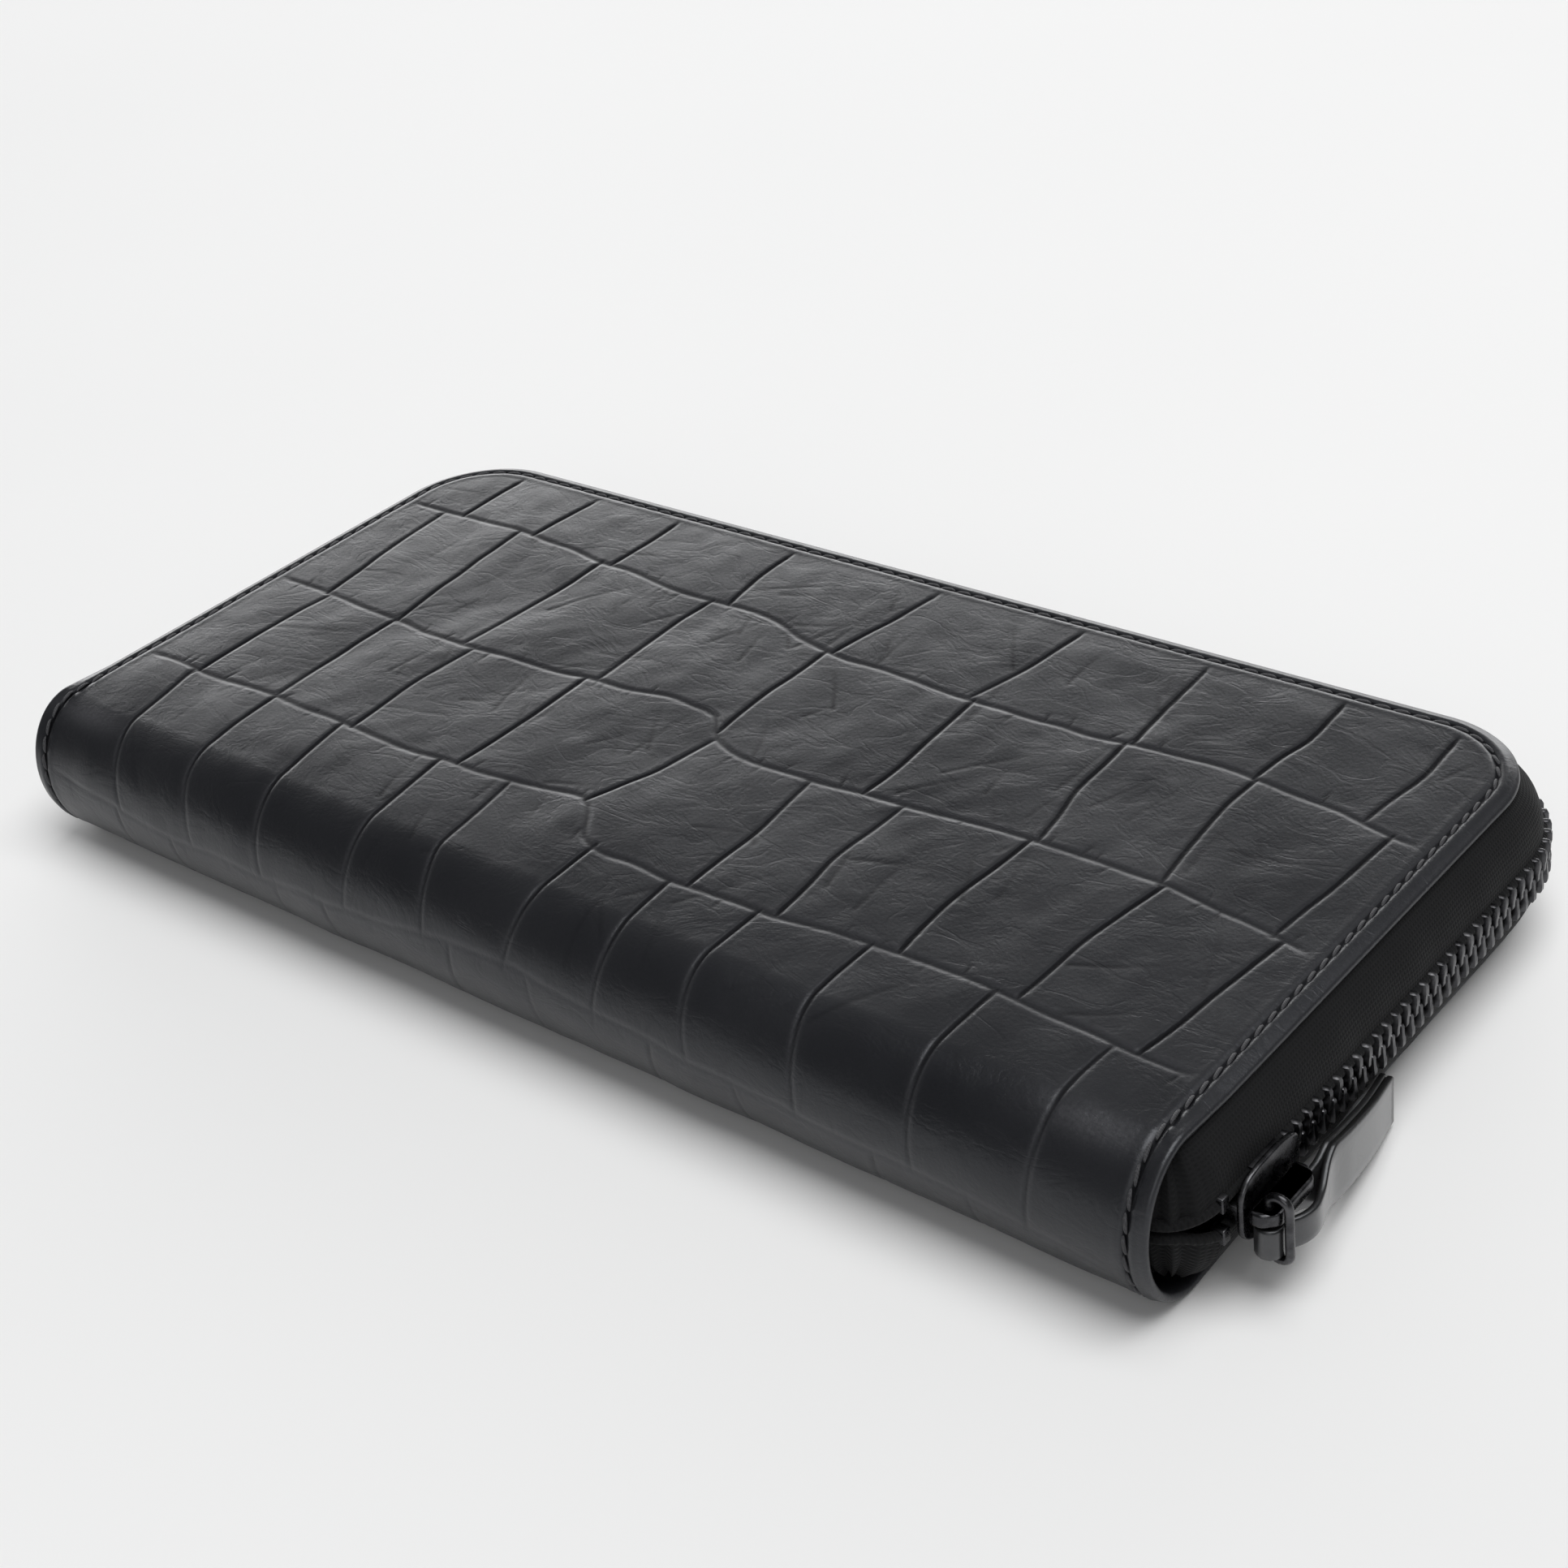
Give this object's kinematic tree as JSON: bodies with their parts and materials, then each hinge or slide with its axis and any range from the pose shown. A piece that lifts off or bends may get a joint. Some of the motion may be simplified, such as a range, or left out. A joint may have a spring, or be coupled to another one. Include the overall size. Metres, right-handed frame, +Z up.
{
  "type": "long wallet",
  "caption": "Zip-around long wallet: folded leather cover, round-zip closure with slider and strap pull, card pockets and a zipped coin pocket.",
  "frame": {"origin": "on the flat underside of the lower cover, under the middle of the covers", "axes": "+X along the length, towards the end where the closed zip's slider stands; +Y from the rounded spine to the long zipped edge; +Z up through the thickness"},
  "size_m": [0.2091, 0.1001, 0.0225],
  "materials": {
    "embossed_leather": "embossed scales, satin black",
    "smooth_leather": "smooth satin black",
    "pull_leather": "smooth glossy black, painted edges",
    "card_leather": "fine-grained black",
    "board": "leather-fibre board, plain",
    "lining": "woven black lining",
    "tape": "woven black zip tape",
    "gunmetal": "polished dark gunmetal plating"
  },
  "bodies": {
    "lower_half": {"cover_leather_lower": "embossed_leather", "cover_board_lower": "board", "lining_lower": "lining", "spine_strip_lower": "smooth_leather", "zip_tape_lower": "tape", "zip_teeth_lower": "gunmetal", "zip_top_stop_lower": "gunmetal", "zip_bottom_box": "gunmetal", "card_panel_lower": "card_leather", "card_pocket_lower_1": "card_leather", "card_pocket_lower_2": "card_leather", "card_pocket_lower_3": "card_leather", "gusset_left": "lining", "gusset_right": "lining"},
    "upper_half": {"cover_leather_upper": "embossed_leather", "cover_board_upper": "board", "lining_upper": "lining", "spine_strip_upper": "smooth_leather", "zip_tape_upper": "tape", "zip_teeth_upper": "gunmetal", "zip_top_stop_upper": "gunmetal", "card_panel_upper": "card_leather", "card_pocket_upper_1": "card_leather", "card_pocket_upper_2": "card_leather", "card_pocket_upper_3": "card_leather"},
    "coin_section": {"coin_panel_lower": "card_leather", "coin_panel_upper": "card_leather", "coin_pocket_edge": "lining", "coin_tape_lower": "tape", "coin_tape_upper": "tape", "coin_teeth_lower": "gunmetal", "coin_teeth_upper": "gunmetal", "coin_stop_left": "gunmetal", "coin_stop_right": "gunmetal"},
    "zip_slider": {"slider_body": "gunmetal", "slider_bail": "gunmetal"},
    "zip_link": {"pull_ring": "gunmetal"},
    "zip_pull": {"pull_strap": "pull_leather"},
    "coin_zip_slider": {"coin_slider_body": "gunmetal", "coin_slider_bail": "gunmetal"},
    "coin_zip_pull": {"coin_pull": "gunmetal"}
  },
  "joints": [
    {"name": "cover_open", "type": "hinge", "parent": "lower_half", "child": "upper_half", "pos_m": [0, -0.048, 0.01125], "axis": [1, 0, 0], "range_deg": [0, 90], "deforming": ["gusset_left", "gusset_right"]},
    {"name": "coin_section_swing", "type": "hinge", "parent": "lower_half", "child": "coin_section", "pos_m": [0, -0.048, 0.01125], "axis": [1, 0, 0], "range_deg": [0, 45], "deforming": ["gusset_left", "gusset_right"]},
    {"name": "zip_slide", "type": "slide", "parent": "lower_half", "child": "zip_slider", "axis": [0, 1, 0], "range_m": [0, 0.054], "deforming": ["zip_teeth_lower", "zip_teeth_upper"]},
    {"name": "link_swing", "type": "hinge", "parent": "zip_slider", "child": "zip_link", "pos_m": [0.10445, -0.0347, 0.01125], "axis": [0, 0, -1], "range_deg": [0, 90]},
    {"name": "pull_swing", "type": "hinge", "parent": "zip_link", "child": "zip_pull", "pos_m": [0.10445, -0.0347, 0.008], "axis": [0, 0, -1], "range_deg": [0, 18]},
    {"name": "coin_zip_slide", "type": "slide", "parent": "coin_section", "child": "coin_zip_slider", "axis": [-1, 0, 0], "range_m": [0, 0.13], "deforming": ["coin_teeth_lower", "coin_teeth_upper"]},
    {"name": "coin_pull_swing", "type": "hinge", "parent": "coin_zip_slider", "child": "coin_zip_pull", "pos_m": [0.0694, 0.0321, 0.01125], "axis": [0, 0, -1], "range_deg": [0, 85]}
  ],
  "couplings": [
    {"joint": "coin_section_swing", "follows": "cover_open", "ratio": 0.5}
  ]
}
